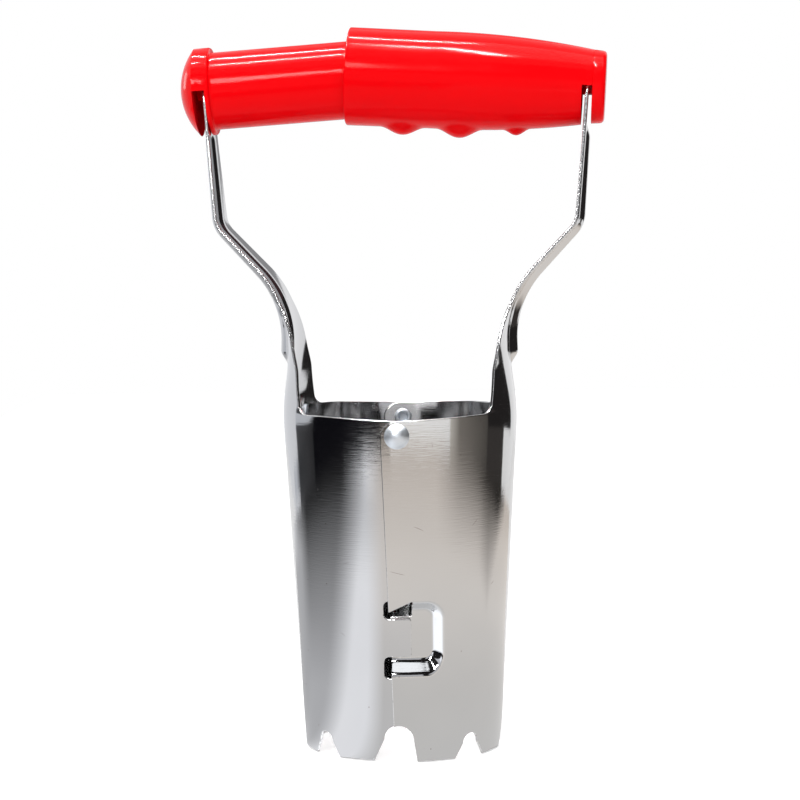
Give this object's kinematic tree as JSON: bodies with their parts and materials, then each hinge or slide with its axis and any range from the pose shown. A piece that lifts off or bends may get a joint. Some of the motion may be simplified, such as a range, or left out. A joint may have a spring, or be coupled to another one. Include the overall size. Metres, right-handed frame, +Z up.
{
  "type": "seedling transplanter",
  "caption": "Hand tool for lifting and setting seedlings: a toothed sheet-steel barrel in hinged halves, opened by squeezing a telescopic plastic handle.",
  "frame": {"origin": "on the barrel's axis, in the plane of the tips of the teeth", "axes": "+Z up towards the handle, +X across the pivot axis towards the sleeve, with the handle within 3 degrees of it, -Y towards the front seam"},
  "size_m": [0.1267, 0.0752, 0.2141],
  "materials": {
    "plated_steel": "bright plating over brushed sheet",
    "rivet_steel": "bright zinc",
    "red_plastic": "gloss, moulded",
    "spring_wire": "drawn wire"
  },
  "bodies": {
    "right_half": {"right_half_shell": "plated_steel", "front_pivot_rivet": "rivet_steel", "rear_pivot_rivet": "rivet_steel", "right_grip": "red_plastic", "right_end_cap": "red_plastic", "return_spring": "spring_wire"},
    "left_half": {"left_half_shell": "plated_steel", "left_grip": "red_plastic", "left_end_cap": "red_plastic"}
  },
  "joints": [
    {"name": "squeeze", "type": "hinge", "parent": "right_half", "child": "left_half", "pos_m": [0, 0, 0.0957], "axis": [0, 1, 0], "range_deg": [0, 7], "stiffness_Nm_per_rad": 12, "springref_deg": -5.73, "deforming": ["return_spring"]}
  ]
}
